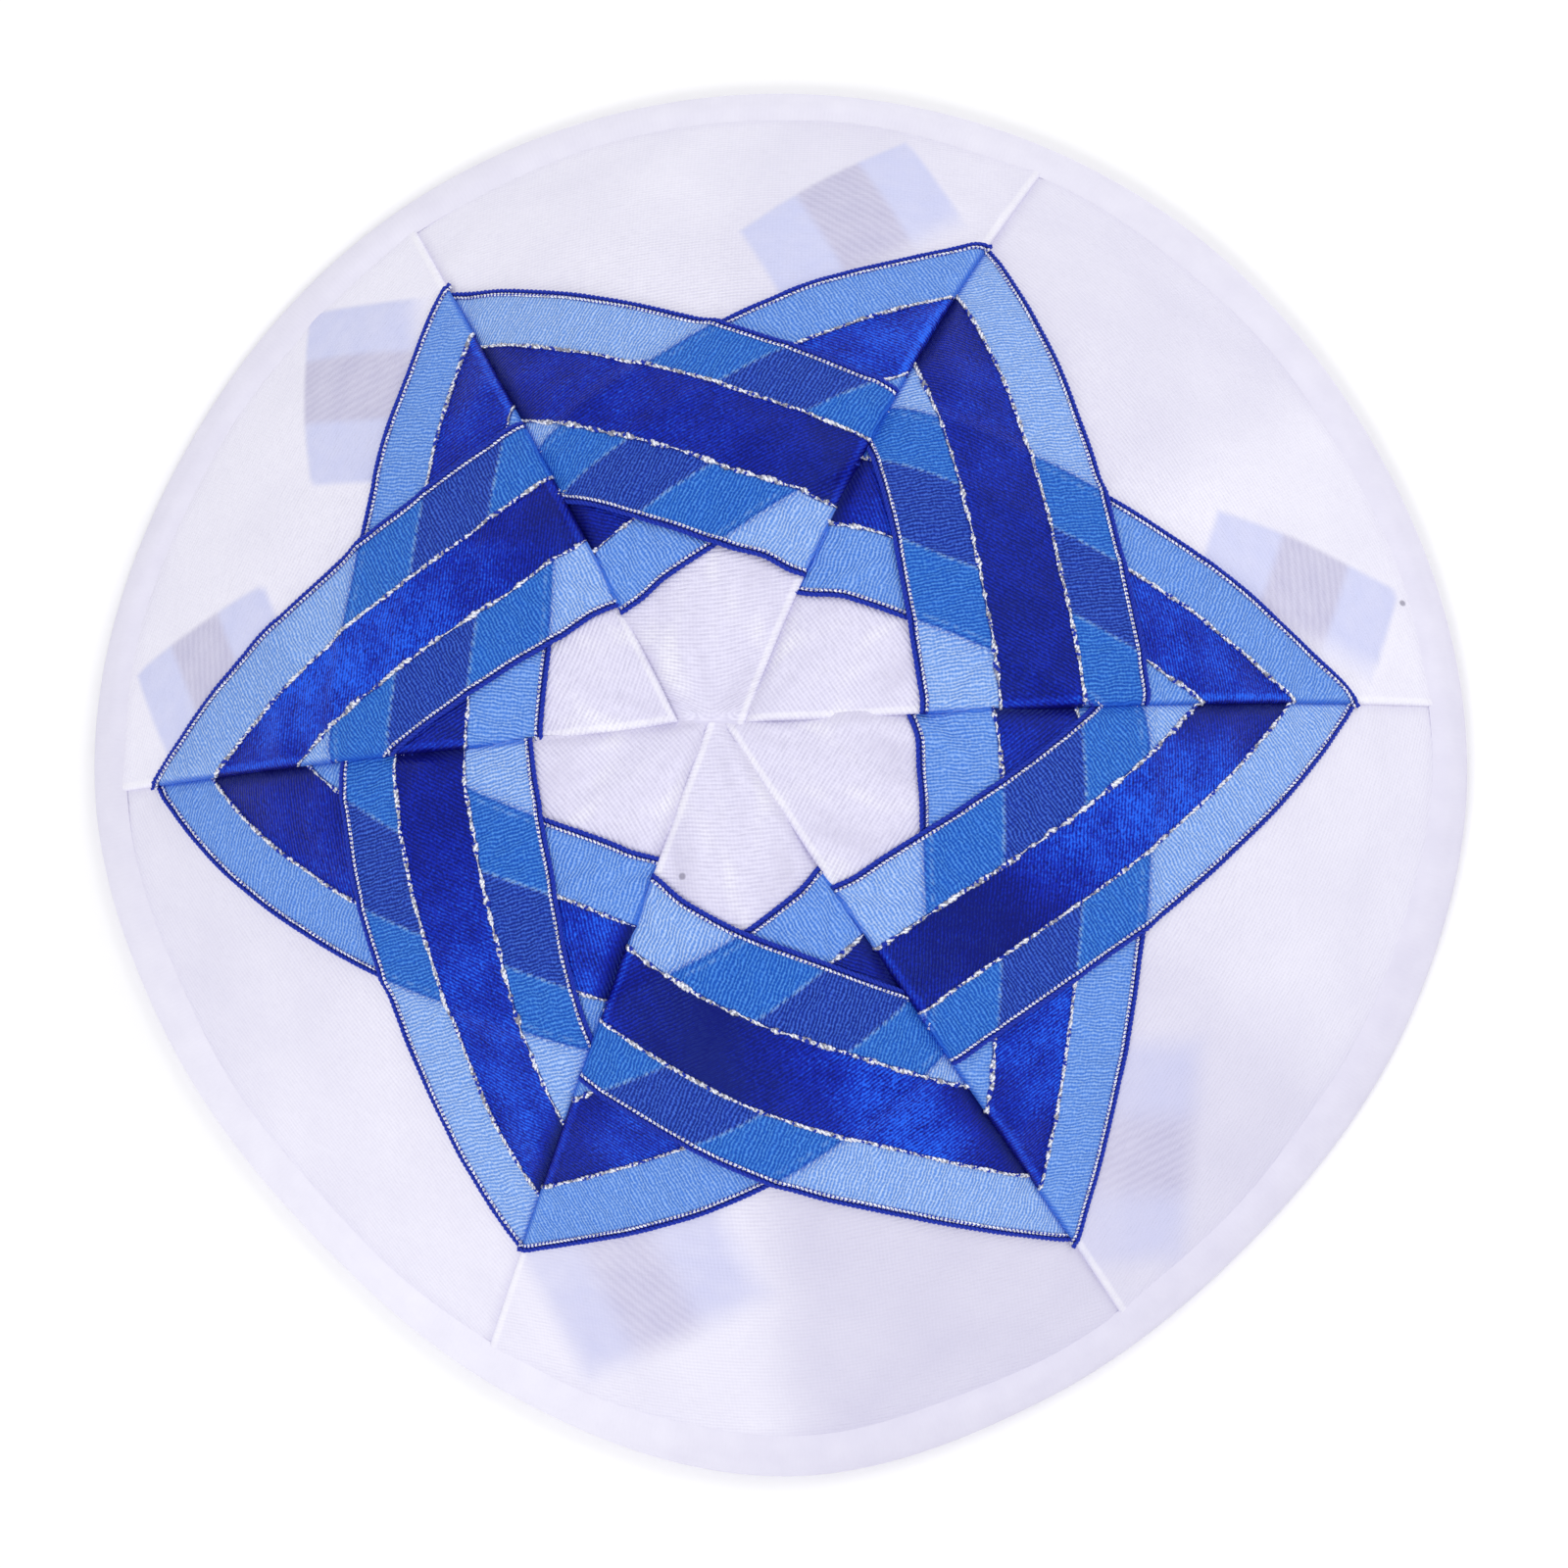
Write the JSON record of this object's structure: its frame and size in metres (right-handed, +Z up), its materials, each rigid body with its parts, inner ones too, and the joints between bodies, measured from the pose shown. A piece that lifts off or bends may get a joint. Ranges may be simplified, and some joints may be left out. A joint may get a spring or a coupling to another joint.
{
  "type": "six-panel satin skullcap",
  "caption": "Shallow domed skullcap of satin panels, with crossing ribbons that form a six-pointed star and a bound rim.",
  "frame": {"origin": "middle of the cap's bounding box, on the surface that the rim rests on", "axes": "+Z up through the dome, -Y towards the side that the picture looks from, +X to its right"},
  "size_m": [0.16, 0.1634, 0.0438],
  "materials": {
    "satin": "lustrous white satin with a faint lavender cast",
    "ribbon": "royal blue satin band between sheer light blue bands, with metallic threads and a navy edge cord",
    "binding": "folded white satin tape"
  },
  "bodies": {
    "root": {"panel_back_right": "satin", "ribbon_back_right_lower": "ribbon", "ribbon_back_right_upper": "ribbon", "panel_back": "satin", "ribbon_back_lower": "ribbon", "ribbon_back_upper": "ribbon", "panel_back_left": "satin", "ribbon_back_left_lower": "ribbon", "ribbon_back_left_upper": "ribbon", "panel_front_left": "satin", "ribbon_front_left_lower": "ribbon", "ribbon_front_left_upper": "ribbon", "panel_front": "satin", "ribbon_front_lower": "ribbon", "ribbon_front_upper": "ribbon", "panel_front_right": "satin", "ribbon_front_right_lower": "ribbon", "ribbon_front_right_upper": "ribbon", "rim_binding": "binding"}
  },
  "joints": []
}
